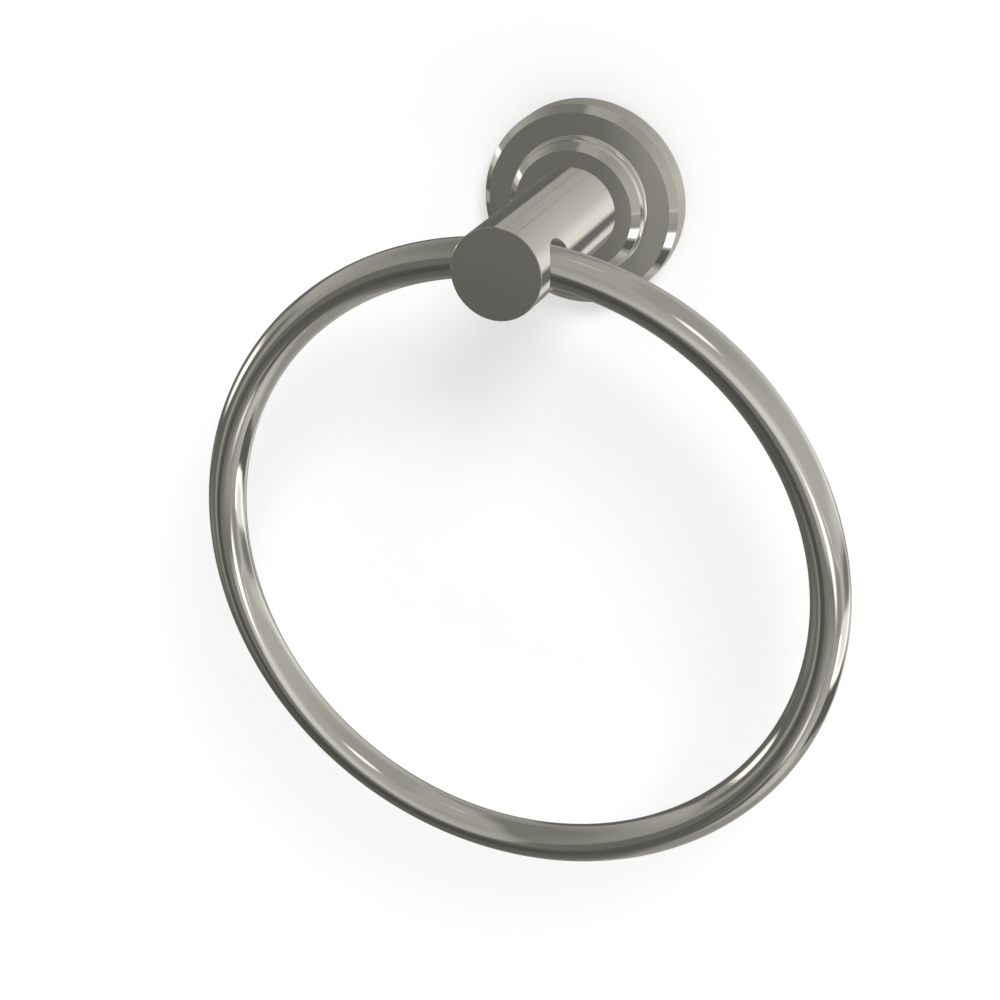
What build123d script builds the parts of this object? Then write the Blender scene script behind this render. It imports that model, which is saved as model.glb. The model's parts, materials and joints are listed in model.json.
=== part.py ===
from build123d import *

import os
from math import cos, radians, sin, sqrt

# Wall-mounted towel ring: a round ring hangs through the cross hole of a round post,
# and the post stands on a stepped wall flange that hides a wall bracket.
# Millimetres. +Z is up, the wall is the plane y = 0 and everything stands out towards -Y.
# The origin is the centre of the flange's back, between the two wall screws.
# Depths are distances in front of the wall.

# Ring
ring_centre_diameter = 156.0
ring_bar_diameter = 9.5

# Post
post_diameter = 21.8
post_length = 50.4
post_edge_break = 0.15
hole_setback = 11.4
ring_clearance = 0.3

# Post seat in the flange
spigot_diameter = 11.0
spigot_across_flats = 9.0
spigot_length = 3.5
spigot_clearance = 0.1
spigot_end_gap = 0.2

# Flange
flange_diameter = 50.0
flange_depth = 7.5
flange_bevel = 1.8
flange_wall = 3.0
flange_web = 2.0
cavity_corner_radius = 0.8
boss_diameter = 33.6
boss_height = 4.2
boss_bevel = 1.8
cove_radius = 1.1

# Hook inside the top of the flange
hook_arc = 50.0
hook_clearance = 0.1
hook_setback = 0.4

# Wall bracket
bracket_thickness = 4.0
bracket_rim_gap = 2.0
bracket_undercut = 2.0
bracket_edge_break = 0.3
bracket_head_clearance = 2.2
wall_screw_spacing = 26.0
wall_screw_hole_diameter = 4.6
countersink_diameter = 9.0
countersink_angle = 90.0

# Screw and washer that hold the post
screw_diameter = 5.0
screw_length = 16.0
screw_head_diameter = 9.0
screw_head_height = 2.8
screw_head_rounding = 1.2
screw_socket_width = 3.0
screw_socket_depth = 1.6
screw_tip_bevel = 0.6
screw_hole_clearance = 0.25
thread_clearance = 0.05
tapped_hole_spare = 2.0
washer_diameter = 8.6
washer_thickness = 1.2
washer_split = 0.8
washer_split_angle = 25.0

# Set screw
set_screw_diameter = 3.0
set_screw_depth = 2.4
set_screw_point_diameter = 1.0
set_screw_point_gap = 0.05
set_screw_recess = 0.3
set_screw_socket_width = 1.5
set_screw_socket_depth = 1.8

# Places that follow from the sizes above
post_radius = post_diameter / 2
boss_radius = boss_diameter / 2
flange_radius = flange_diameter / 2
boss_face_depth = flange_depth + boss_height
front_depth = boss_face_depth + post_length
ring_depth = front_depth - hole_setback

# The ring's centreline meets the hole's axis, and the hole clears the bar's bend out to the post's sides
ring_radius = ring_centre_diameter / 2
ring_bar_radius = ring_bar_diameter / 2
ring_inner_radius = ring_radius - ring_bar_radius
ring_sag = ring_inner_radius - sqrt(ring_inner_radius**2 - post_radius**2)
hole_radius = ring_bar_radius + ring_sag + ring_clearance

# The hollow behind the flange's face, and the bracket's rim inside it
cavity_radius = flange_radius - flange_wall
cavity_depth = flange_depth - flange_web
bracket_front_radius = cavity_radius - bracket_rim_gap
bracket_back_radius = bracket_front_radius - bracket_undercut
bracket_slope = bracket_undercut / bracket_thickness

# The screw's head and its washer sit on the floor of the hollow
pocket_depth = spigot_length + spigot_end_gap
head_seat_depth = cavity_depth - washer_thickness
spigot_end_depth = boss_face_depth - spigot_length

# The set screw's point stands just off the bracket's rim
point_radius = set_screw_point_diameter / 2
rim_at_point = bracket_back_radius + bracket_slope * (set_screw_depth + point_radius)
set_screw_inner_end = rim_at_point + set_screw_point_gap
set_screw_outer_end = flange_radius - set_screw_recess

os.makedirs("parts", exist_ok=True)


def wall_plane(depth):
    """A plane parallel to the wall, this far in front of it and facing away from it."""
    return Plane.XZ.offset(depth)


def spigot_outline(clearance):
    """A circle with two flats, which keeps the post from turning in the flange."""
    Circle(spigot_diameter / 2 + clearance)
    Rectangle(
        spigot_diameter + 2 * clearance,
        spigot_across_flats + 2 * clearance,
        mode=Mode.INTERSECT,
    )


# Ring: round bar bent and closed into a circle
with BuildPart() as ring:
    with BuildSketch(Plane.XY.offset(-ring_radius)):
        with Locations((ring_radius, -ring_depth)):
            Circle(ring_bar_radius)
    revolve(axis=Axis((0, 0, -ring_radius), (0, 1, 0)))
ring.part.label = "ring"
export_step(ring.part, "parts/ring.step")

# Post: round bar with the ring's cross hole, and a flatted, tapped spigot at its foot
with BuildPart() as post:
    with BuildSketch(wall_plane(boss_face_depth)):
        Circle(post_radius)
    extrude(amount=post_length)
    chamfer(post.faces().sort_by(Axis.Y)[0].edges(), post_edge_break)
    with BuildSketch(wall_plane(boss_face_depth)):
        spigot_outline(0)
    extrude(amount=-spigot_length)
    with Locations(Plane((0, -ring_depth, 0), z_dir=(1, 0, 0))):
        Hole(hole_radius)
    with Locations(Plane((0, -spigot_end_depth, 0), z_dir=(0, 1, 0))):
        Hole(
            screw_diameter / 2 + thread_clearance,
            depth=head_seat_depth + screw_length + tapped_hole_spare - spigot_end_depth,
        )
post.part.label = "post"
export_step(post.part, "parts/post.step")

# Flange: turned outline with a bevelled rim, a cove and a bevelled boss, hollow behind
with BuildPart() as flange:
    with BuildSketch(Plane.XY) as flange_section:
        with BuildLine():
            Polyline(
                (0, -boss_face_depth),
                (boss_radius, -boss_face_depth),
                (boss_radius, -flange_depth),
                (flange_radius, -flange_depth),
                (flange_radius, 0),
                (cavity_radius, 0),
                (cavity_radius, -cavity_depth),
                (0, -cavity_depth),
                close=True,
            )
        make_face()
        corners = flange_section.vertices()
        rim = corners.sort_by_distance((flange_radius, -flange_depth))[0]
        boss_edge = corners.sort_by_distance((boss_radius, -boss_face_depth))[0]
        boss_root = corners.sort_by_distance((boss_radius, -flange_depth))[0]
        cavity_corner = corners.sort_by_distance((cavity_radius, -cavity_depth))[0]
        chamfer(rim, flange_bevel)
        chamfer(boss_edge, boss_bevel)
        fillet(boss_root, cove_radius)
        fillet(cavity_corner, cavity_corner_radius)
    revolve(axis=Axis.Y)
    with BuildSketch(wall_plane(boss_face_depth)):
        spigot_outline(spigot_clearance)
    extrude(amount=-pocket_depth, mode=Mode.SUBTRACT)
    with Locations(Plane((0, -cavity_depth, 0), z_dir=(0, 1, 0))):
        Hole(screw_diameter / 2 + screw_hole_clearance)
    with Locations(Plane((0, -set_screw_depth, -flange_radius), z_dir=(0, 0, -1))):
        Hole(set_screw_diameter / 2 + thread_clearance, depth=2 * flange_wall)
    # The hook leans over the bracket's rim, from one side of the top to the other
    hook_start = radians(-hook_arc / 2)
    hook_plane = Plane(
        (0, 0, 0),
        x_dir=(sin(hook_start), 0, cos(hook_start)),
        z_dir=(-cos(hook_start), 0, sin(hook_start)),
    )
    with BuildSketch(hook_plane):
        with BuildLine():
            hook_back = bracket_back_radius + hook_clearance + bracket_slope * hook_setback
            hook_front = bracket_front_radius + hook_clearance
            Polyline(
                (hook_back, -hook_setback),
                (cavity_radius + flange_wall / 2, -hook_setback),
                (cavity_radius + flange_wall / 2, -bracket_thickness),
                (hook_front, -bracket_thickness),
                close=True,
            )
        make_face()
    revolve(axis=Axis.Y, revolution_arc=hook_arc)
flange.part.label = "flange"
export_step(flange.part, "parts/flange.step")

# Wall bracket: round plate whose rim leans in towards the wall, open in the middle for the screw's head
with BuildPart() as wall_bracket:
    with BuildSketch(Plane.XY) as bracket_section:
        with BuildLine():
            bracket_bore_radius = screw_head_diameter / 2 + bracket_head_clearance
            Polyline(
                (bracket_bore_radius, 0),
                (bracket_back_radius, 0),
                (bracket_front_radius, -bracket_thickness),
                (bracket_bore_radius, -bracket_thickness),
                close=True,
            )
        make_face()
        bore_edge = bracket_section.vertices().sort_by_distance((bracket_bore_radius, -bracket_thickness))[0]
        chamfer(bore_edge, bracket_edge_break)
    revolve(axis=Axis.Y)
    with Locations(wall_plane(bracket_thickness)):
        with GridLocations(0, wall_screw_spacing, 1, 2):
            CounterSinkHole(
                wall_screw_hole_diameter / 2,
                countersink_diameter / 2,
                counter_sink_angle=countersink_angle,
            )
wall_bracket.part.label = "wall_bracket"
export_step(wall_bracket.part, "parts/wall_bracket.step")

# Lock washer: flat ring with a slanted split
with BuildPart() as lock_washer:
    with BuildSketch(wall_plane(head_seat_depth)):
        Circle(washer_diameter / 2)
        Circle(screw_diameter / 2 + screw_hole_clearance, mode=Mode.SUBTRACT)
    extrude(amount=washer_thickness)
    split_middle = head_seat_depth + washer_thickness / 2
    with Locations(Location((0, -split_middle, washer_diameter / 2), (0, 0, washer_split_angle))):
        Box(washer_split, 4 * washer_thickness, washer_diameter, mode=Mode.SUBTRACT)
lock_washer.part.label = "lock_washer"
export_step(lock_washer.part, "parts/lock_washer.step")

# Post screw: rounded socket head at the back, shank forwards into the post
with BuildPart() as post_screw:
    with BuildSketch(Plane.XY) as screw_section:
        with BuildLine():
            screw_tip_depth = head_seat_depth + screw_length
            head_top_depth = head_seat_depth - screw_head_height
            Polyline(
                (0, -head_top_depth),
                (screw_head_diameter / 2, -head_top_depth),
                (screw_head_diameter / 2, -head_seat_depth),
                (screw_diameter / 2, -head_seat_depth),
                (screw_diameter / 2, -screw_tip_depth),
                (0, -screw_tip_depth),
                close=True,
            )
        make_face()
        screw_corners = screw_section.vertices()
        head_edge = screw_corners.sort_by_distance((screw_head_diameter / 2, -head_top_depth))[0]
        tip_edge = screw_corners.sort_by_distance((screw_diameter / 2, -screw_tip_depth))[0]
        fillet(head_edge, screw_head_rounding)
        chamfer(tip_edge, screw_tip_bevel)
    revolve(axis=Axis.Y)
    with BuildSketch(wall_plane(head_top_depth)):
        RegularPolygon(screw_socket_width / 2, 6, major_radius=False)
    extrude(amount=screw_socket_depth, mode=Mode.SUBTRACT)
post_screw.part.label = "post_screw"
export_step(post_screw.part, "parts/post_screw.step")

# Set screw: cone point up against the bracket's rim, hexagon socket in the underside of the flange
with BuildPart() as set_screw:
    with BuildSketch(Plane.XY.offset(-set_screw_outer_end)):
        with Locations((0, -set_screw_depth)):
            Circle(set_screw_diameter / 2)
    extrude(amount=set_screw_outer_end - set_screw_inner_end)
    chamfer(set_screw.faces().sort_by(Axis.Z)[-1].edges(), set_screw_diameter / 2 - point_radius)
    with BuildSketch(Plane.XY.offset(-set_screw_outer_end)):
        with Locations((0, -set_screw_depth)):
            RegularPolygon(set_screw_socket_width / 2, 6, major_radius=False)
    extrude(amount=set_screw_socket_depth, mode=Mode.SUBTRACT)
set_screw.part.label = "set_screw"
export_step(set_screw.part, "parts/set_screw.step")
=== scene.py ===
"""Looks for a wall-mounted towel ring in polished nickel.

The ring, the post and the flange are turned again as finely divided meshes with exact normals, so that
their polish mirrors the studio cleanly. The hidden bracket and screws get finishes of their own.
"""

import json
import math
from typing import NamedTuple

import bmesh
import bpy
from bpy.props import FloatProperty, FloatVectorProperty, PointerProperty
from mathutils import Matrix, Vector


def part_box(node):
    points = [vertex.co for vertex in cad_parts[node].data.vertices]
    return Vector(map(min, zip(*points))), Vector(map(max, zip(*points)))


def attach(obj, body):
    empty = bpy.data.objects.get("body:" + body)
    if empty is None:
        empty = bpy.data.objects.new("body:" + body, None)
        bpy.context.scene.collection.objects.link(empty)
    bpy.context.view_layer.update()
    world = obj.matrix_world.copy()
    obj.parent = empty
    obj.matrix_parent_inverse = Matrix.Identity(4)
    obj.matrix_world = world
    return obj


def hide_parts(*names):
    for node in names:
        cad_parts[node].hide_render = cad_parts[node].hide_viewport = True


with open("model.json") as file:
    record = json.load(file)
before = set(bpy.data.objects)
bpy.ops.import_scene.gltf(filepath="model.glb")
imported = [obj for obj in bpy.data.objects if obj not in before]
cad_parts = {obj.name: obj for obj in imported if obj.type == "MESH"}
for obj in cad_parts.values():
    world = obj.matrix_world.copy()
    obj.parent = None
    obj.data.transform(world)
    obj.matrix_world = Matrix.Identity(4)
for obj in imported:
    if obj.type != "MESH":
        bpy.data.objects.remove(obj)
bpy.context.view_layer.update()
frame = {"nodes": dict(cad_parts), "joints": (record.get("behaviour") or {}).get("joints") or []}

bl_info = {
    "name": "Towel ring",
    "version": (1, 0, 0),
    "blender": (4, 5, 0),
    "location": "3D View > Sidebar > Towel ring",
    "description": "Dresses a wall-mounted towel ring in polished nickel and sets its studio",
    "category": "Object",
}

MM = 0.001
SIZE_STEP = 0.1 * MM
X, Y, Z = range(3)
SIDEWAYS = Vector((1, 0, 0))
UP = Vector((0, 0, 1))


def rounded_size(value):
    """A size read from the frame, to a tenth of a millimetre: a mesh lies just inside the true curve."""
    return round(value / SIZE_STEP) * SIZE_STEP


def span(node, axis):
    """A node's size along an axis."""
    low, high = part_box(node)
    return rounded_size(high[axis] - low[axis])


def front_depth(node):
    """How far a node stands out from the wall."""
    return rounded_size(-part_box(node)[0][Y])


def back_depth(node):
    """How far the back of a node is from the wall."""
    return rounded_size(-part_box(node)[1][Y])


# Settings

def length(name, description, default):
    """A size in metres, shown in the scene's units."""
    return FloatProperty(
        name=name, description=description, default=default, min=0.0, unit="LENGTH", precision=4
    )


def share(name, description, default):
    """A number from 0 to 1."""
    return FloatProperty(
        name=name, description=description, default=default, min=0.0, max=1.0, subtype="FACTOR"
    )


def colour(name, description, default):
    """A colour in linear light."""
    return FloatVectorProperty(
        name=name, description=description, default=default, min=0.0, max=1.0, size=3, subtype="COLOR"
    )


def angle(name, description, degrees):
    """An angle, written here in degrees."""
    return FloatProperty(name=name, description=description, default=math.radians(degrees), subtype="ANGLE")


class RingSizes(bpy.types.PropertyGroup):
    """The swinging ring."""

    outer_diameter: length("Outer diameter", "Across the outside of the ring", span("ring", X))
    bar_diameter: length("Bar diameter", "Thickness of the round bar", span("ring", Y))
    depth: length("Depth", "Distance of the ring from the wall", -frame["joints"][0]["pos_m"][Y])


class PostSizes(bpy.types.PropertyGroup):
    """The round post with the ring's cross hole."""

    diameter: length("Diameter", "Thickness of the post", span("post", Z))
    front: length("Front", "Distance of the front face from the wall", front_depth("post"))
    foot: length("Foot", "Distance of the foot's end from the wall", back_depth("post"))
    edge_break: length("Edge break", "Small bevel round the front face", 0.15 * MM)
    ring_clearance: length("Ring clearance", "Room between the bent bar and the cross hole", 0.3 * MM)
    foot_diameter: length("Foot diameter", "Round part of the foot, which enters the flange", 11.0 * MM)
    foot_flats: length("Foot flats", "Distance between the two flats of the foot", 9.0 * MM)
    tapped_diameter: length("Tapped hole", "Diameter of the blind hole for the post's screw", 5.1 * MM)
    tapped_end: length("Tapped hole's end", "Distance of the blind hole's end from the wall", 22.3 * MM)


class FlangeSizes(bpy.types.PropertyGroup):
    """The stepped wall flange."""

    diameter: length("Diameter", "Across the flange", span("flange", X))
    boss_front: length("Boss front", "Distance of the boss's face from the wall", front_depth("flange"))
    face: length("Face", "Distance of the flat face from the wall", 7.5 * MM)
    bevel: length("Bevel", "Bevel of the rim and of the boss", 1.8 * MM)
    wall: length("Wall", "Thickness of the outer wall", 3.0 * MM)
    web: length("Web", "Thickness behind the flat face", 2.0 * MM)
    corner: length("Inside corner", "Rounding inside the hollow", 0.8 * MM)
    boss_diameter: length("Boss diameter", "Across the raised boss", 33.6 * MM)
    cove: length("Cove", "Rounding where the boss meets the flat face", 1.1 * MM)
    foot_clearance: length("Foot clearance", "Room around the post's foot", 0.1 * MM)
    foot_gap: length("Foot gap", "Room behind the post's foot", 0.2 * MM)
    screw_hole: length("Screw hole", "Diameter of the hole for the post's screw", 5.5 * MM)
    set_screw_hole: length("Set screw hole", "Diameter of the hole in the underside", 3.1 * MM)
    set_screw_depth: length("Set screw depth", "Distance of the set screw from the wall", 2.4 * MM)
    hook_arc: angle("Hook arc", "Length of the hook inside the top", 50)
    hook_back: length("Hook back", "Distance of the hook's back from the wall", 0.4 * MM)
    hook_front: length("Hook front", "Distance of the hook's front from the wall", 4.0 * MM)
    hook_back_radius: length("Hook back radius", "Inside radius of the hook at its back", 18.3 * MM)
    hook_front_radius: length("Hook front radius", "Inside radius of the hook at its front", 20.1 * MM)


class MetalFinish(bpy.types.PropertyGroup):
    """Colours and gloss of the metals."""

    nickel: colour("Nickel", "Warm grey of the polished nickel", (0.575, 0.563, 0.497))
    nickel_edge: colour(
        "Nickel at a glance", "How much the nickel keeps its grey at a glancing view", (0.86, 0.85, 0.82)
    )
    nickel_roughness: share("Nickel roughness", "Blur of the polished nickel", 0.06)
    rim_roughness: share("Rim roughness", "Blur added on the flange's outer wall and in its hollow", 0.45)
    # Painted shade: how bright the metal is painted deep in a hollow or a screw's socket, where little
    # light falls.
    painted_recess_shade: share("Hollow shade", "Brightness of the metal deep in a hollow or a socket", 0.35)
    zinc: colour("Zinc", "Plated steel of the bracket", (0.52, 0.53, 0.55))
    zinc_roughness: share("Zinc roughness", "Blur of the plated steel", 0.32)
    screw_steel: colour("Screw steel", "Bare steel of the screws and the washer", (0.40, 0.40, 0.41))
    screw_roughness: share("Screw roughness", "Blur of the screws", 0.28)


class Studio(bpy.types.PropertyGroup):
    """Backdrop, light and camera."""

    backdrop: colour("Backdrop", "Wall and floor", (0.94, 0.94, 0.94))
    glow: share("Backdrop glow", "How much of the backdrop's white is its own", 0.3)
    veil: share("White in the metal", "How much plain white the metal mirrors over the studio", 0.08)
    ambient: FloatProperty(name="Ambient", description="Even light from all round", default=0.62, min=0.0)
    lamp_power: FloatProperty(
        name="Lamp power",
        description="Power of the soft lamp in watts",
        default=54.0,
        min=0.0,
        unit="POWER",
    )
    lamp_size: length("Lamp size", "Width of the soft lamp", 1.1)
    lamp_distance: length("Lamp distance", "From the post to the lamp", 3.0)
    lamp_azimuth: angle("Lamp azimuth", "Lamp to the right of straight ahead", 33)
    lamp_height: angle("Lamp height", "Lamp above level", 40)
    azimuth: angle("Camera azimuth", "Camera to the right of straight ahead", 21.518)
    elevation: angle("Camera elevation", "Camera above level", 25.324)
    distance: length("Camera distance", "From the camera to the middle of the picture", 466.7 * MM)
    target: FloatVectorProperty(
        name="Camera target",
        description="Point in the middle of the picture",
        default=(2.07 * MM, -64.68 * MM, -53.64 * MM),
        subtype="TRANSLATION",
    )
    lens: FloatProperty(name="Lens", description="Focal length in millimetres", default=72.684, min=1.0)


class TowelRing(bpy.types.PropertyGroup):
    """All settings."""

    ring: PointerProperty(type=RingSizes)
    post: PointerProperty(type=PostSizes)
    flange: PointerProperty(type=FlangeSizes)
    metal: PointerProperty(type=MetalFinish)
    studio: PointerProperty(type=Studio)


# Turned meshes with exact normals. Outlines are (radius, depth) points, with depths out from the wall.

TURN_STEPS = 256
ARC_STEPS = 12
RING_STEPS = 320
RING_BAR_STEPS = 72
HOOK_STEPS = 40
CROSS_HOLE_STEPS = 128
SET_SCREW_HOLE_STEPS = 48
WELD_DISTANCE = SIZE_STEP / 10
CORNER_DIGITS = 3
TURNED_SHARE = 0.99


class Stroke(NamedTuple):
    """A part of a turned outline. A rounded stroke knows the centre of its arc."""

    points: list
    centre: tuple = None


def arc(centre, radius, start, end, steps=ARC_STEPS):
    """A rounded stroke between two angles in degrees, from outward (0) towards the front (90)."""
    turns = [math.radians(start + (end - start) * k / steps) for k in range(steps + 1)]
    points = [(centre[0] + radius * math.cos(t), centre[1] + radius * math.sin(t)) for t in turns]
    return Stroke(points, centre)


class TurnedPiece:
    """A solid turned about an axis square to the wall. Each face knows the true surface that it lies on."""

    def __init__(self, name, strokes, axis_height=0.0, steps=TURN_STEPS, extent=math.tau, start=0.0):
        self.name = name
        self.axis_height = axis_height
        self.surfaces = [self.turned]
        self.object = self.sweep(strokes, steps, extent, start)

    def radial(self, point):
        """The unit direction from the axis to a point."""
        return Vector((point.x, 0, point.z - self.axis_height)).normalized()

    def turned(self, point, middle, facing):
        """The normal of a straight stroke's surface at a point of a face with this middle and facing.

        A face that looks sideways, such as a flat or an end, keeps its own normal.
        """
        outward = facing.dot(self.radial(middle))
        if math.hypot(outward, facing.y) < TURNED_SHARE:
            return facing
        return self.radial(point) * outward + Vector((0, facing.y, 0))

    def rounded(self, centre):
        """The normals of the surface that an arc sweeps."""

        def normal(point, middle, facing):
            core = self.radial(point) * centre[0] + Vector((0, -centre[1], self.axis_height))
            outward = (point - core).normalized()
            return outward if outward.dot(facing) > 0 else -outward

        return normal

    def sweep(self, strokes, steps, extent, start):
        """Turns a closed outline about the axis, all the way round or part of it."""
        made = bmesh.new()
        whole = extent >= math.tau
        turns = [start + extent * k / steps for k in range(steps if whole else steps + 1)]
        corners = {}

        def rings(point):
            """The corners that a point of the outline makes, shared by the strokes that meet there."""
            radius, depth = point
            key = (round(radius / SIZE_STEP, CORNER_DIGITS), round(depth / SIZE_STEP, CORNER_DIGITS))
            if key not in corners:
                spots = [
                    (radius * math.sin(t), -depth, radius * math.cos(t) + self.axis_height) for t in turns
                ]
                corners[key] = [made.verts.new(s) for s in (spots if radius else spots[:1])]
            return corners[key]

        for stroke in strokes:
            surface = 0
            if stroke.centre:
                self.surfaces.append(self.rounded(stroke.centre))
                surface = len(self.surfaces) - 1
            for near, far in zip(stroke.points, stroke.points[1:]):
                self.band(made, rings(near), rings(far), len(turns), whole, surface)
        if not whole:
            outline = [p for stroke in strokes for p in stroke.points[:-1]]
            made.faces.new([rings(p)[0] for p in outline])
            made.faces.new([rings(p)[-1] for p in outline])
        bmesh.ops.recalc_face_normals(made, faces=made.faces)
        return self.link(made)

    @staticmethod
    def band(made, near, far, count, whole, surface):
        """Joins two rings of corners, either of which may be a single point on the axis."""
        for k in range(count if whole else count - 1):
            after = (k + 1) % count
            loop = [near[k % len(near)], near[after % len(near)], far[after % len(far)], far[k % len(far)]]
            face = made.faces.new(list(dict.fromkeys(loop)))
            face.material_index = surface

    def link(self, made):
        """Makes an object of a finished bmesh, with a material slot for each kind of surface."""
        mesh = bpy.data.meshes.new(self.name)
        made.to_mesh(mesh)
        made.free()
        for _ in self.surfaces:
            mesh.materials.append(None)
        linked = bpy.data.objects.new(self.name, mesh)
        bpy.context.scene.collection.objects.link(linked)
        return linked

    def flatten(self, radius, half_width, low, high):
        """Puts two level flats on a round part of this radius between two depths."""
        for vertex in self.object.data.vertices:
            place = vertex.co
            if low <= -place.y <= high and abs(math.hypot(place.x, place.z) - radius) < SIZE_STEP / 2:
                place.z = max(-half_width, min(half_width, place.z))

    def combine(self, tool, operation):
        """Joins or cuts with another object, which is then removed."""
        for other in (self.object, tool):
            while len(other.data.materials) < len(self.surfaces):
                other.data.materials.append(None)
        step = self.object.modifiers.new(operation.lower(), "BOOLEAN")
        step.object = tool
        step.operation = operation
        step.solver = "EXACT"
        shown = self.object.evaluated_get(bpy.context.evaluated_depsgraph_get())
        old = self.object.data
        self.object.data = bpy.data.meshes.new_from_object(shown)
        self.object.modifiers.clear()
        bpy.data.meshes.remove(old)
        bpy.data.meshes.remove(tool.data)
        self.weld()

    def weld(self):
        """Merges corners that a cut leaves on top of each other."""
        made = bmesh.new()
        made.from_mesh(self.object.data)
        bmesh.ops.remove_doubles(made, verts=made.verts, dist=WELD_DISTANCE)
        made.to_mesh(self.object.data)
        made.free()

    def drill(self, start, end, radius, steps):
        """Cuts a round hole from one point to another."""
        along = (end - start).normalized()

        def bore(point, middle, facing):
            offset = point - start
            return (along * offset.dot(along) - offset).normalized()

        self.surfaces.append(bore)
        made = bmesh.new()
        turn = along.to_track_quat("Z", "Y").to_matrix().to_4x4()
        place = Matrix.Translation((start + end) / 2) @ turn
        size = (end - start).length
        bmesh.ops.create_cone(
            made, cap_ends=True, segments=steps, radius1=radius, radius2=radius, depth=size, matrix=place
        )
        for face in made.faces:
            face.material_index = len(self.surfaces) - 1
        self.combine(self.link(made), "DIFFERENCE")

    def finish(self):
        """Sets the exact normals, puts every face on the first material slot and clears the slots."""
        mesh = self.object.data
        mesh.name = self.name
        mesh.shade_smooth()
        normals = []
        for face in mesh.polygons:
            surface = self.surfaces[face.material_index]
            for index in face.vertices:
                normals.append(surface(mesh.vertices[index].co, face.center, face.normal))
            face.material_index = 0
        mesh.normals_split_custom_set(normals)
        mesh.materials.clear()
        return self.object


# Shader nodes written as Python expressions

class Wire:
    """A value in a node tree. Arithmetic on it adds Math nodes."""

    def __init__(self, nodes, socket):
        self.nodes = nodes
        self.socket = socket

    def math(self, operation, *values):
        """A Math node on these values or wires."""
        node = self.nodes.add("ShaderNodeMath", {"operation": operation}, dict(enumerate(values)))
        return self.nodes.wire(node, 0)

    def __add__(self, other):
        return self.math("ADD", self, other)

    def __radd__(self, other):
        return self.math("ADD", other, self)

    def __sub__(self, other):
        return self.math("SUBTRACT", self, other)

    def __rsub__(self, other):
        return self.math("SUBTRACT", other, self)

    def __mul__(self, other):
        return self.math("MULTIPLY", self, other)

    def __rmul__(self, other):
        return self.math("MULTIPLY", other, self)

    def __truediv__(self, other):
        return self.math("DIVIDE", self, other)

    def __rtruediv__(self, other):
        return self.math("DIVIDE", other, self)

    def __pow__(self, other):
        return self.math("POWER", self, other)

    def __rpow__(self, other):
        return self.math("POWER", other, self)

    def __abs__(self):
        return self.math("ABSOLUTE", self)

    def smooth(self, low, high):
        """0 below low, 1 above high, and an easy curve between them."""
        node = self.nodes.add(
            "ShaderNodeMapRange",
            {"interpolation_type": "SMOOTHSTEP"},
            {"Value": self, "From Min": low, "From Max": high},
        )
        return self.nodes.wire(node, "Result")


class Nodes:
    """The nodes of one material or world."""

    def __init__(self, tree):
        self.tree = tree
        tree.nodes.clear()

    def add(self, kind, settings=None, sockets=None):
        """A node of a kind, with its settings, and then its sockets' values or links."""
        node = self.tree.nodes.new(kind)
        for name, value in (settings or {}).items():
            setattr(node, name, value)
        for name, value in (sockets or {}).items():
            socket = node.inputs[name]
            if isinstance(value, Wire):
                self.tree.links.new(value.socket, socket)
            else:
                socket.default_value = value
        return node

    def wire(self, node, output):
        """A node's output as a wire."""
        return Wire(self, node.outputs[output])

    def shader(self, kind, **sockets):
        """A shader node's output. Underscores in the sockets' names stand for spaces."""
        node = self.add(kind, None, {name.replace("_", " "): value for name, value in sockets.items()})
        return self.wire(node, 0)

    def mix_shaders(self, factor, first, second):
        """The first shader at factor 0, the second at factor 1."""
        return self.wire(self.add("ShaderNodeMixShader", None, {0: factor, 1: first, 2: second}), 0)

    def mix_colours(self, factor, first, second):
        """The first colour at factor 0, the second at factor 1.

        The node's sockets go by place, because those of its other data types have the same names.
        """
        node = self.add("ShaderNodeMix", {"data_type": "RGBA"}, {0: factor, 6: first, 7: second})
        return self.wire(node, 2)

    def noise(self, vector, scale, detail=2.0, depth=0.0):
        """Noise in four dimensions, from 0 to 1."""
        node = self.add(
            "ShaderNodeTexNoise",
            {"noise_dimensions": "4D"},
            {"Vector": vector, "W": depth, "Scale": scale, "Detail": detail},
        )
        return self.wire(node, "Fac")

    def vector(self, x, y, z):
        """A vector from three values."""
        return self.wire(self.add("ShaderNodeCombineXYZ", None, {"X": x, "Y": y, "Z": z}), 0)

    def split(self, vector):
        """A vector's three values."""
        node = self.add("ShaderNodeSeparateXYZ", None, {0: vector})
        return [self.wire(node, axis) for axis in range(3)]

    def coordinates(self, output):
        """An output of the Texture Coordinate node."""
        return self.wire(self.add("ShaderNodeTexCoord"), output)

    def ray(self, kind):
        """1 for rays of a kind, such as camera rays, and 0 for all others."""
        return self.wire(self.add("ShaderNodeLightPath"), f"Is {kind} Ray")

    def bump(self, height, strength, distance):
        """A normal for a surface with this height."""
        sockets = {"Height": height, "Strength": strength, "Distance": distance}
        return self.wire(self.add("ShaderNodeBump", None, sockets), "Normal")

    def finish(self, shader, kind="ShaderNodeOutputMaterial"):
        """Plugs a shader into the output."""
        self.add(kind, None, {"Surface": shader})


def new_material(name):
    """A material and its nodes."""
    material = bpy.data.materials.new(name)
    material.use_nodes = True
    return material, Nodes(material.node_tree)


def tinted(rgb, factor):
    """A colour made lighter or darker, with its alpha."""
    return tuple(channel * factor for channel in rgb) + (1.0,)


# Finishes. Streaks are counted to the radian along the turning, and hairlines and spots to the metre.

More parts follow.
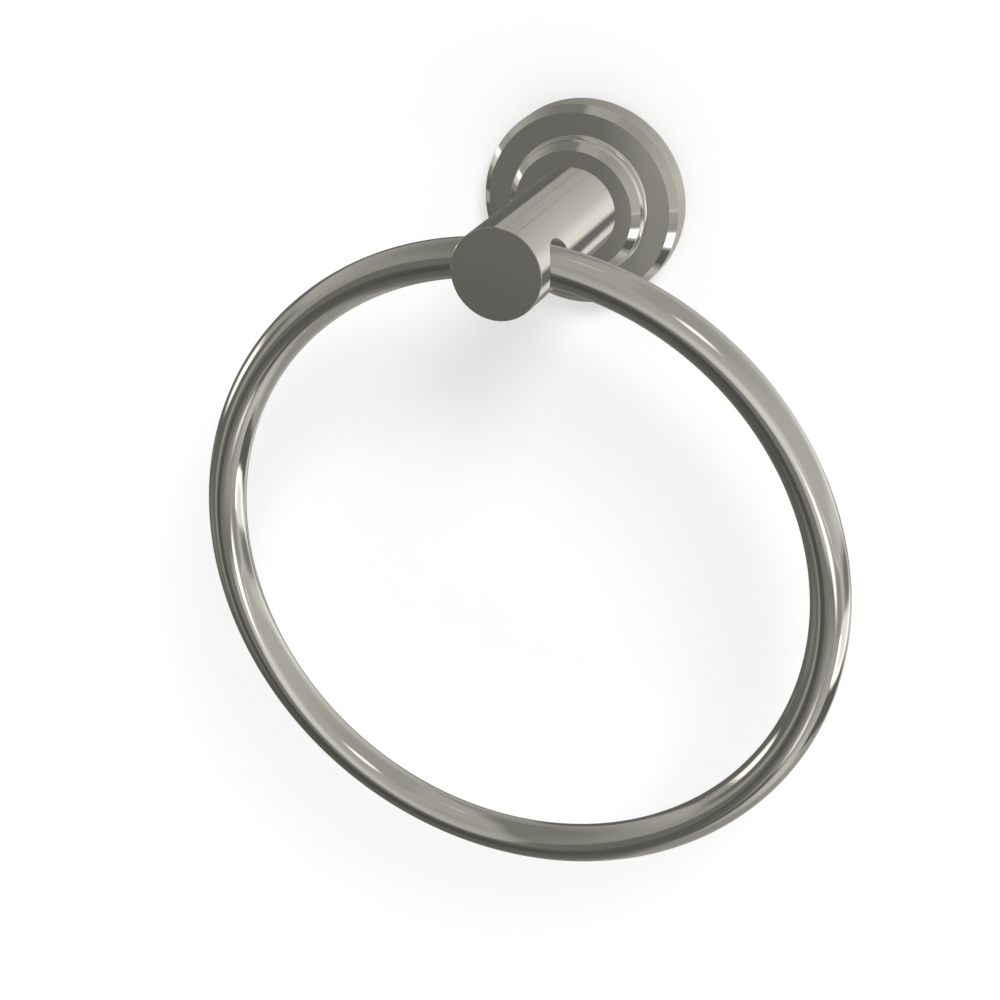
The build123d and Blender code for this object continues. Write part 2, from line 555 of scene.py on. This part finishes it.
HAIRLINES = 5000.0
TURNING_MARKS = 9000.0
ZINC_CRYSTALS = 2600.0
RING_STREAKS = 12.0
POST_STREAKS = 6.0
FLANGE_STREAKS = 6.0
SCREW_STREAKS = 3.0
BLUR_SWING = 0.4
HAIRLINE_BLUR = 0.1
SMEAR_BLUR = 0.15
FINISH_EDGE = 0.05 * MM
# Where the painted shade in a screw's socket starts and where it is full, from the screw's end.
SOCKET_LIP = 0.2 * MM
SOCKET_DEPTH = 1.6 * MM


class Relief(NamedTuple):
    """How strongly a fine pattern tilts the surface, and how high it stands."""

    strength: float
    height: float


HAIRLINE_RELIEF = Relief(0.02, 0.02 * MM)
CRYSTAL_RELIEF = Relief(0.12, 0.05 * MM)
MARK_RELIEF = Relief(0.1, 0.03 * MM)


class Patches(NamedTuple):
    """Soft darker patches in a finish, so many to the metre.

    They rise from nothing to full between two levels of a noise, and their shade darkens the colour.
    """

    scale: float
    detail: float
    start: float
    full: float
    shade: float


BUFFING_SMEARS = Patches(35.0, 3.0, 0.35, 0.75, 0.96)
ZINC_CLOUDS = Patches(140.0, 4.0, 0.3, 0.7, 0.8)
OIL_FILM = Patches(300.0, 3.0, 0.3, 0.7, 0.75)


def from_axis(nodes, axis_height):
    """A point's x, y and z from an axis that is square to the wall, and its distance from that axis."""
    x, y, z = nodes.split(nodes.coordinates("Object"))
    z = z - axis_height
    return x, y, z, (x * x + z * z) ** 0.5


def turning_lines(nodes, axis_height, streaks, lines):
    """Fine streaks round an axis that is square to the wall."""
    x, y, z, radius = from_axis(nodes, axis_height)
    turn = nodes.vector(x / radius * streaks, z / radius * streaks, radius * lines)
    return nodes.noise(turn, 1.0, depth=y * lines)


def patchy(nodes, rgb, kind):
    """A colour with soft darker patches, and the patches as a value from 0 to 1."""
    spread = nodes.noise(nodes.coordinates("Object"), kind.scale, kind.detail)
    patches = spread.smooth(kind.start, kind.full)
    return nodes.mix_colours(patches, tinted(rgb, 1.0), tinted(rgb, kind.shade)), patches


def varied(value, pattern):
    """A value that swings about itself with a pattern."""
    return value * (1 - BLUR_SWING / 2 + pattern * BLUR_SWING)


def deeper(nodes, axis, start, end):
    """From 0 at one place along an axis to 1 at another, for the shade in a hollow."""
    place = nodes.split(nodes.coordinates("Object"))[axis]
    return ((place - start) / (end - start)).smooth(0.0, 1.0)


def flange_walls(nodes, sizes):
    """Masks of the flange's outer wall and of the hollow in its back, which no buffing wheel reaches."""
    _, y, _, radius = from_axis(nodes, 0.0)
    outside = sizes.diameter / 2
    inside = outside - sizes.wall
    deep = sizes.face - sizes.web
    rim = radius.smooth(outside - 2 * FINISH_EDGE, outside - FINISH_EDGE)
    within = 1 - radius.smooth(inside + FINISH_EDGE, inside + 2 * FINISH_EDGE)
    behind = 1 - (0 - y).smooth(deep + FINISH_EDGE, deep + 2 * FINISH_EDGE)
    return rim, within * behind


def finish_metal(nodes, tint, roughness, pattern, relief, **sockets):
    """Plugs in bare metal with a fine relief."""
    shader = nodes.shader(
        "ShaderNodeBsdfPrincipled",
        Base_Color=tint,
        Metallic=1.0,
        Roughness=roughness,
        Normal=nodes.bump(pattern, relief.strength, relief.height),
        **sockets,
    )
    nodes.finish(shader)


def polished_nickel(name, finish, axis_height, streaks, flange=None):
    """Buffed nickel plate: a warm mirror with hairlines along the turning and faint cloudy smears.

    On the flange, the outer wall and the hollow keep the duller finish of the lathe; the hollow is darkened
    towards the web with painted shade.
    """
    material, nodes = new_material(name)
    hairlines = turning_lines(nodes, axis_height, streaks, HAIRLINES)
    tint, smear = patchy(nodes, finish.nickel, BUFFING_SMEARS)
    blur = 1 - HAIRLINE_BLUR + hairlines * HAIRLINE_BLUR + smear * SMEAR_BLUR
    roughness = finish.nickel_roughness * blur
    if flange:
        rim, hollow = flange_walls(nodes, flange)
        roughness = roughness + (rim + hollow) * varied(finish.rim_roughness, hairlines)
        # Painted shade: the hollow's metal is darkened towards the web, where little light falls.
        shade = hollow * deeper(nodes, Y, 0.0, flange.web - flange.face)
        tint = nodes.mix_colours(shade, tint, tinted(finish.nickel, finish.painted_recess_shade))
    edge = tinted(finish.nickel_edge, 1.0)
    finish_metal(nodes, tint, roughness, hairlines, HAIRLINE_RELIEF, Specular_Tint=edge)
    return material


def plated_zinc(name, finish, deep):
    """Bright zinc on pressed steel: satin, with crystals and a cloudy plating, and painted shade deeper in
    the hollow.
    """
    material, nodes = new_material(name)
    crystals = nodes.noise(nodes.coordinates("Object"), ZINC_CRYSTALS)
    tint, cloud = patchy(nodes, finish.zinc, ZINC_CLOUDS)
    # Painted shade: the bracket is darkened with its distance from the wall, deep in the flange's hollow.
    shade = deeper(nodes, Y, 0.0, -deep)
    tint = nodes.mix_colours(shade, tint, tinted(finish.zinc, finish.painted_recess_shade))
    finish_metal(nodes, tint, varied(finish.zinc_roughness, cloud), crystals, CRYSTAL_RELIEF)
    return material


def turned_steel(name, finish, axis, start, end):
    """Bare machined steel with turning marks and a darker oil film. A socket is given painted shade that
    darkens along an axis.
    """
    material, nodes = new_material(name)
    marks = turning_lines(nodes, 0.0, SCREW_STREAKS, TURNING_MARKS)
    tint, _ = patchy(nodes, finish.screw_steel, OIL_FILM)
    # Painted shade: the socket is darkened towards its bottom, where little light falls.
    socket = deeper(nodes, axis, start, end)
    tint = nodes.mix_colours(socket, tint, tinted(finish.screw_steel, finish.painted_recess_shade))
    finish_metal(nodes, tint, varied(finish.screw_roughness, marks), marks, MARK_RELIEF)
    return material


# The studio

class Card(NamedTuple):
    """A light or dark panel of the studio, in degrees to the right of straight ahead and above level.

    Its edge is soft by a share of its size. Its slope tilts it, in degrees up for each degree to the right.
    Its corners go from an oval's, at 2, to a box's, at high numbers. A later card covers an earlier one.
    """

    azimuth: float
    height: float
    width: float
    tall: float
    level: float
    soft: float = 0.3
    slope: float = 0.0
    corners: float = 4.0


HALF_TURN = 180.0
STUDIO_BASE = 0.56
STUDIO_CARDS = (
    # Grey wall on the right, paler low down, over a grey floor, and a grey panel ahead
    Card(90, 0, 158, 150, 0.48, 0.04),
    Card(95, 6, 190, 60, 0.66, 0.7),
    Card(60, -84, 260, 50, 0.40, 0.4),
    Card(-9, 30, 22, 22, 0.50, 0.6, corners=2.5),
    # Small lamp overhead
    Card(-5, 83.5, 70, 6, 0.9, 0.7, corners=2),
    # Large grey flag on the left with a rounded top, paler in its middle, and grey panels at its far side
    Card(-90, -12, 142, 168, 0.25, 0.05),
    Card(-100, 45, 130, 68, 0.25, 0.2, corners=2.5),
    Card(-98, 14, 96, 44, 0.60, 1.0, corners=2),
    Card(-162, 40, 34, 26, 0.38, 0.2),
    Card(179.2, 36, 3, 20, 0.42, 0.4),
    Card(-169, -24, 22, 14, 0.25, 0.4),
    # Dark flag in front of it, a second one beyond, and a pale panel above that
    Card(-109, -14, 101, 56, 0.13, 0.12),
    Card(-166, -4, 16, 22, 0.33, 0.4),
    Card(-148, -4, 24, 44, 0.13, 0.12),
    Card(-170, 17.2, 27, 11.7, 0.55, 0.08, slope=0.3, corners=6),
    Card(-166.7, 22.5, 2, 9, 0.50, 0.5),
    # Small softbox before the dark flag: spill, a small pale panel, steps at its side and a bright corner
    Card(-94, 6, 34, 22, 0.48, 0.6, corners=2),
    Card(-88, -27, 30, 12, 0.26, 0.8, corners=2),
    Card(-112.1, -17.1, 4, 4.4, 0.55, 0.3),
    Card(-101, -5, 13, 9, 0.36, 0.4),
    Card(-100, 0, 12, 9.6, 0.86, 0.2),
    Card(-89, -2.5, 22, 13, 2.2, 0.4, corners=2.5),
    Card(-100.4, 3, 3, 5, 2.2, 0.3),
    # Pale strip, and dark strip that is darkest low down
    Card(-48.5, -6, 13, 58, 0.42, 0.5),
    Card(-30.6, -30, 25.9, 82, 0.165, 0.06),
    Card(-28, -40, 26, 40, 0.07, 0.22),
    # Low panels: dark on the left, mid grey ahead, pale on the right
    Card(-65, -60, 120, 40, 0.12, 0.3),
    Card(-62, -47, 96, 16, 0.07, 0.8, corners=2),
    Card(11, -35, 56, 46, 0.24, 0.2, slope=0.25),
    Card(22, -34, 36, 14, 0.46, 0.8, corners=2),
    Card(-18, -46, 26, 34, 0.10, 0.5, corners=2.5),
    Card(-32, -41, 30, 24, 0.04, 0.6, corners=2),
    Card(65, -50, 60, 30, 0.62, 0.8, corners=2),
    Card(60, -60, 70, 16, 0.86, 1.0, corners=2),
    # Front softbox with its spill, a dark panel at its left and a thin strip at its right
    Card(16, -1, 40, 20, 1.1, 1.0, slope=0.15, corners=2),
    Card(18, -16, 22, 8, 0.80, 0.8, corners=2),
    Card(-5.5, -19, 24, 12, 0.22, 0.35, slope=0.15),
    Card(53, -6, 12, 3.5, 1.2, 0.7, slope=-0.4, corners=2),
    Card(37.5, -15, 27, 14, 2.4, 0.5, slope=-0.55, corners=2),
    # High lamp ahead, and a low lamp over a dark panel
    Card(33, 41, 15, 11, 2.2, 0.7, slope=0.2, corners=2),
    Card(8, -52, 36, 10, 0.10, 0.5, corners=2),
    Card(3, -42, 9, 8, 0.42, 0.8, corners=2),
    Card(20, -43, 14, 10, 1.4, 0.7, slope=-0.15, corners=2),
    # Pale haze on the right
    Card(66, -22, 36, 16, 0.38, 0.5),
    Card(120, -2, 56, 12, 0.90, 0.8, corners=2),
    Card(154, 8, 40, 36, 0.85, 1.0, corners=2),
    Card(150, -11, 38, 34, 1.25, 0.5, corners=2.5),
    Card(72, -12.5, 26, 2.5, 0.85, 0.6, slope=-0.08, corners=2),
    Card(87, -17.5, 22, 15, 0.80, 0.9, corners=2),
    # Long reflector on the right between dark flags
    Card(118, -16.5, 48, 12, 0.24, 0.6, corners=2.5),
    Card(163, -18.5, 21, 15, 0.17, 0.4, slope=-0.1, corners=2.5),
    Card(107, -32, 60, 16.5, 1.35, 0.18, slope=0.05),
    Card(116, -45, 72, 14, 0.10, 0.3, slope=0.24),
    Card(102, -38.4, 36, 4.5, 1.9, 0.5, slope=0.12),
    Card(127, -29, 26, 8, 1.9, 0.6, slope=0.4, corners=2.5),
    Card(81, -35.4, 15, 12.2, 2.2, 0.08),
    Card(86.5, -49, 20, 13, 0.10, 0.1),
    # Small reflectors at the far right
    Card(172.8, -25.6, 16.5, 13, 1.1, 0.45, slope=-1.3, corners=2.5),
    Card(170, -34, 40, 10, 0.95, 0.6, corners=2),
)


def studio_light(nodes):
    """The brightness of the studio in each direction, as the metal sees it."""
    x, y, z = nodes.split(nodes.coordinates("Generated"))
    azimuth = x.math("ARCTAN2", x, 0 - y) * math.degrees(1)
    height = z.math("ARCSINE", z) * math.degrees(1)
    light = STUDIO_BASE
    for card in STUDIO_CARDS:
        aside = azimuth.math("WRAP", azimuth - card.azimuth, HALF_TURN, -HALF_TURN)
        over = height - card.height
        if card.slope:
            over = over - aside * card.slope
        across = abs(aside / (card.width / 2)) ** card.corners
        along = abs(over / (card.tall / 2)) ** card.corners
        outside = ((across + along) ** (1 / card.corners)).smooth(1 - card.soft, 1 + card.soft)
        light = card.level + (light - card.level) * outside
    return light


def direction(azimuth, height):
    """The unit direction towards something to the right of straight ahead and above level."""
    level = math.cos(height)
    return Vector((math.sin(azimuth) * level, -math.cos(azimuth) * level, math.sin(height)))


def set_world(studio):
    """White for the camera, an even light for everything dull, and the cards for what mirrors."""
    world = bpy.data.worlds.new("studio")
    world.use_nodes = True
    world.cycles.sampling_method = "NONE"
    nodes = Nodes(world.node_tree)
    white = nodes.shader("ShaderNodeBackground", Color=(1, 1, 1, 1), Strength=1.0)
    even = nodes.shader("ShaderNodeBackground", Color=(1, 1, 1, 1), Strength=studio.ambient)
    cards = nodes.shader("ShaderNodeBackground", Color=studio_light(nodes), Strength=1.0)
    in_metal = nodes.mix_shaders(studio.veil, cards, white)
    lit = nodes.mix_shaders(nodes.ray("Glossy"), even, in_metal)
    nodes.finish(nodes.mix_shaders(nodes.ray("Camera"), lit, white), "ShaderNodeOutputWorld")
    bpy.context.scene.world = world


def backdrop_paper(studio):
    """White paper that keeps shadows, clear from behind and to the metal, which mirrors the world."""
    material, nodes = new_material("backdrop_paper")
    material.cycles.emission_sampling = "NONE"
    behind = nodes.wire(nodes.add("ShaderNodeNewGeometry"), "Backfacing")
    paper = nodes.shader("ShaderNodeBsdfDiffuse", Color=tinted(studio.backdrop, 1.0))
    white = nodes.shader("ShaderNodeEmission", Color=(1, 1, 1, 1), Strength=1.0)
    glowing = nodes.mix_shaders(nodes.ray("Camera") * studio.glow, paper, white)
    clear = nodes.shader("ShaderNodeBsdfTransparent")
    shown = (1 - behind) * (1 - nodes.ray("Glossy"))
    nodes.finish(nodes.mix_shaders(shown, clear, glowing))
    return material


WALL_GAP = 0.2 * MM
WALL_HEIGHT = 1.2
FLOOR_DROP = 0.6
FLOOR_REACH = 1.6
SWEEP_RADIUS = 0.25
SWEEP_STEPS = 24
BACKDROP_HALF_WIDTH = 1.5
CLIP_START = 10 * MM


def make_backdrop(studio):
    """A wall that runs down into a floor in one sweep."""
    bend_y = WALL_GAP - SWEEP_RADIUS
    bend_z = SWEEP_RADIUS - FLOOR_DROP
    profile = [(WALL_GAP, WALL_HEIGHT)]
    for k in range(SWEEP_STEPS + 1):
        turn = math.pi / 2 * k / SWEEP_STEPS
        profile.append((bend_y + SWEEP_RADIUS * math.cos(turn), bend_z - SWEEP_RADIUS * math.sin(turn)))
    profile.append((-FLOOR_REACH, -FLOOR_DROP))
    made = bmesh.new()
    left, right = (
        [made.verts.new((side * BACKDROP_HALF_WIDTH, y, z)) for y, z in profile] for side in (-1, 1)
    )
    for k in range(len(profile) - 1):
        face = made.faces.new((left[k], left[k + 1], right[k + 1], right[k]))
        face.smooth = True
    mesh = bpy.data.meshes.new("backdrop")
    made.to_mesh(mesh)
    made.free()
    backdrop = bpy.data.objects.new("backdrop", mesh)
    bpy.context.scene.collection.objects.link(backdrop)
    mesh.materials.append(backdrop_paper(studio))


def set_lamp(studio):
    """One large soft lamp, high on the right."""
    light = bpy.data.lights.new("soft_lamp", "AREA")
    light.shape = "DISK"
    light.size = studio.lamp_size
    light.energy = studio.lamp_power
    lamp = bpy.data.objects.new("soft_lamp", light)
    bpy.context.scene.collection.objects.link(lamp)
    towards = direction(studio.lamp_azimuth, studio.lamp_height)
    lamp.location = towards * studio.lamp_distance
    lamp.rotation_euler = towards.to_track_quat("Z", "Y").to_euler()
    lamp.visible_glossy = False
    lamp.visible_camera = False


def set_camera(studio):
    """The camera, to the right of the part and above it."""
    data = bpy.data.cameras.new("camera")
    data.lens = studio.lens
    data.clip_start = CLIP_START
    camera = bpy.data.objects.new("camera", data)
    bpy.context.scene.collection.objects.link(camera)
    back = direction(studio.azimuth, studio.elevation)
    camera.location = Vector(studio.target) + back * studio.distance
    camera.rotation_euler = back.to_track_quat("Z", "Y").to_euler()
    bpy.context.scene.camera = camera


# Operators

def dress(piece, material, body, node):
    """Gives a new piece its material, lets it ride on its body and stand for its node."""
    piece.data.materials.append(material)
    piece.visible_glossy = False
    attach(piece, body)
    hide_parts(node)


def coat(node, material):
    """Gives a node its material."""
    piece = frame["nodes"][node]
    piece.visible_glossy = False
    piece.data.materials.clear()
    piece.data.materials.append(material)


class MakeRing(bpy.types.Operator):
    """Turns the ring and polishes it"""

    bl_idname = "towel_ring.make_ring"
    bl_label = "Ring"

    def execute(self, context):
        settings = context.scene.towel_ring
        sizes = settings.ring
        bar_radius = sizes.bar_diameter / 2
        radius = sizes.outer_diameter / 2 - bar_radius
        outline = arc((radius, sizes.depth), bar_radius, 0, 360, steps=RING_BAR_STEPS)
        ring = TurnedPiece("ring_bar", [outline], axis_height=-radius, steps=RING_STEPS).finish()
        material = polished_nickel("ring_nickel", settings.metal, -radius, RING_STREAKS)
        dress(ring, material, "ring", "ring")
        return {"FINISHED"}


class MakePost(bpy.types.Operator):
    """Turns the post, drills its cross hole and polishes it"""

    bl_idname = "towel_ring.make_post"
    bl_label = "Post"

    def execute(self, context):
        settings = context.scene.towel_ring
        sizes, ring = settings.post, settings.ring
        radius, foot_radius, tapped_radius = (
            size / 2 for size in (sizes.diameter, sizes.foot_diameter, sizes.tapped_diameter)
        )
        shoulder = settings.flange.boss_front
        outline = Stroke([
            (0, sizes.front),
            (radius - sizes.edge_break, sizes.front),
            (radius, sizes.front - sizes.edge_break),
            (radius, shoulder),
            (foot_radius, shoulder),
            (foot_radius, sizes.foot),
            (tapped_radius, sizes.foot),
            (tapped_radius, sizes.tapped_end),
            (0, sizes.tapped_end),
        ])
        piece = TurnedPiece("post_bar", [outline])
        piece.flatten(foot_radius, sizes.foot_flats / 2, sizes.foot, shoulder)
        inside = ring.outer_diameter / 2 - ring.bar_diameter
        sag = inside - math.sqrt(inside**2 - radius**2)
        hole_radius = ring.bar_diameter / 2 + sag + sizes.ring_clearance
        middle = Vector((0, -ring.depth, 0))
        reach = SIDEWAYS * sizes.diameter
        piece.drill(middle - reach, middle + reach, hole_radius, CROSS_HOLE_STEPS)
        material = polished_nickel("post_nickel", settings.metal, 0.0, POST_STREAKS)
        dress(piece.finish(), material, "holder", "post")
        return {"FINISHED"}


class MakeFlange(bpy.types.Operator):
    """Turns the stepped flange with its hollow back and hook, and polishes it"""

    bl_idname = "towel_ring.make_flange"
    bl_label = "Flange"

    def execute(self, context):
        settings = context.scene.towel_ring
        sizes, post = settings.flange, settings.post
        radius, boss_radius, hole_radius = (
            size / 2 for size in (sizes.diameter, sizes.boss_diameter, sizes.screw_hole)
        )
        hollow_radius = radius - sizes.wall
        hollow_end = sizes.face - sizes.web
        pocket_radius = post.foot_diameter / 2 + sizes.foot_clearance
        pocket_end = post.foot - sizes.foot_gap
        cove_centre = (boss_radius + sizes.cove, sizes.face + sizes.cove)
        corner_centre = (hollow_radius - sizes.corner, hollow_end - sizes.corner)
        strokes = [
            Stroke([
                (pocket_radius, sizes.boss_front),
                (boss_radius - sizes.bevel, sizes.boss_front),
                (boss_radius, sizes.boss_front - sizes.bevel),
                (boss_radius, cove_centre[1]),
            ]),
            arc(cove_centre, sizes.cove, 180, 270),
            Stroke([
                (cove_centre[0], sizes.face),
                (radius - sizes.bevel, sizes.face),
                (radius, sizes.face - sizes.bevel),
                (radius, 0),
                (hollow_radius, 0),
                (hollow_radius, corner_centre[1]),
            ]),
            arc(corner_centre, sizes.corner, 0, 90),
            Stroke([
                (corner_centre[0], hollow_end),
                (hole_radius, hollow_end),
                (hole_radius, pocket_end),
                (pocket_radius, pocket_end),
                (pocket_radius, sizes.boss_front),
            ]),
        ]
        piece = TurnedPiece("flange_body", strokes)
        half_pocket = post.foot_flats / 2 + sizes.foot_clearance
        piece.flatten(pocket_radius, half_pocket, pocket_end, sizes.boss_front)
        hook_root = hollow_radius + sizes.wall / 2
        hook_outline = Stroke([
            (sizes.hook_back_radius, sizes.hook_back),
            (hook_root, sizes.hook_back),
            (hook_root, sizes.hook_front),
            (sizes.hook_front_radius, sizes.hook_front),
            (sizes.hook_back_radius, sizes.hook_back),
        ])
        hook = TurnedPiece(
            "hook", [hook_outline], steps=HOOK_STEPS, extent=sizes.hook_arc, start=-sizes.hook_arc / 2
        )
        piece.combine(hook.object, "UNION")
        underside = Vector((0, -sizes.set_screw_depth, -radius))
        below = underside - UP * sizes.wall
        above = underside + UP * 2 * sizes.wall
        piece.drill(below, above, sizes.set_screw_hole / 2, SET_SCREW_HOLE_STEPS)
        material = polished_nickel("flange_nickel", settings.metal, 0.0, FLANGE_STREAKS, sizes)
        dress(piece.finish(), material, "holder", "flange")
        return {"FINISHED"}


class CoatBracket(bpy.types.Operator):
    """Plates the wall bracket"""

    bl_idname = "towel_ring.coat_bracket"
    bl_label = "Wall bracket"

    def execute(self, context):
        settings = context.scene.towel_ring
        deep = settings.flange.face - settings.flange.web
        coat("wall_bracket", plated_zinc("bracket_zinc", settings.metal, deep))
        return {"FINISHED"}


class CoatScrews(bpy.types.Operator):
    """Finishes the post's screw, its lock washer and the set screw"""

    bl_idname = "towel_ring.coat_screws"
    bl_label = "Screws"

    def execute(self, context):
        finish = context.scene.towel_ring.metal
        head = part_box("post_screw")[1][Y]
        steel = turned_steel("screw_steel", finish, Y, head - SOCKET_LIP, head - SOCKET_DEPTH)
        coat("post_screw", steel)
        coat("lock_washer", steel)
        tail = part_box("set_screw")[0][Z]
        steel = turned_steel("set_screw_steel", finish, Z, tail + SOCKET_LIP, tail + SOCKET_DEPTH)
        coat("set_screw", steel)
        return {"FINISHED"}


class SetStage(bpy.types.Operator):
    """Sets the backdrop, the light and the camera"""

    bl_idname = "towel_ring.set_stage"
    bl_label = "Stage"

    def execute(self, context):
        settings = context.scene.towel_ring
        context.scene.view_settings.view_transform = "Standard"
        make_backdrop(settings.studio)
        set_world(settings.studio)
        set_lamp(settings.studio)
        set_camera(settings.studio)
        return {"FINISHED"}


class TowelRingPanel(bpy.types.Panel):
    """Lists the pieces in the sidebar"""

    bl_idname = "VIEW3D_PT_towel_ring"
    bl_label = "Towel ring"
    bl_space_type = "VIEW_3D"
    bl_region_type = "UI"
    bl_category = "Towel ring"

    def draw(self, context):
        for operator in OPERATORS:
            self.layout.operator(operator.bl_idname)


OPERATORS = (MakeRing, MakePost, MakeFlange, CoatBracket, CoatScrews, SetStage)
CLASSES = (RingSizes, PostSizes, FlangeSizes, MetalFinish, Studio, TowelRing, *OPERATORS, TowelRingPanel)


def register():
    """Adds the classes, and the settings to each scene."""
    for each in CLASSES:
        bpy.utils.register_class(each)
    bpy.types.Scene.towel_ring = PointerProperty(type=TowelRing)


def unregister():
    """Takes the settings and the classes away again."""
    del bpy.types.Scene.towel_ring
    for each in reversed(CLASSES):
        bpy.utils.unregister_class(each)


def main():
    """Makes the pieces and the stage in order."""
    register()
    bpy.ops.towel_ring.make_ring()
    bpy.ops.towel_ring.make_post()
    bpy.ops.towel_ring.make_flange()
    bpy.ops.towel_ring.coat_bracket()
    bpy.ops.towel_ring.coat_screws()
    bpy.ops.towel_ring.set_stage()


if __name__ == "__main__":
    main()
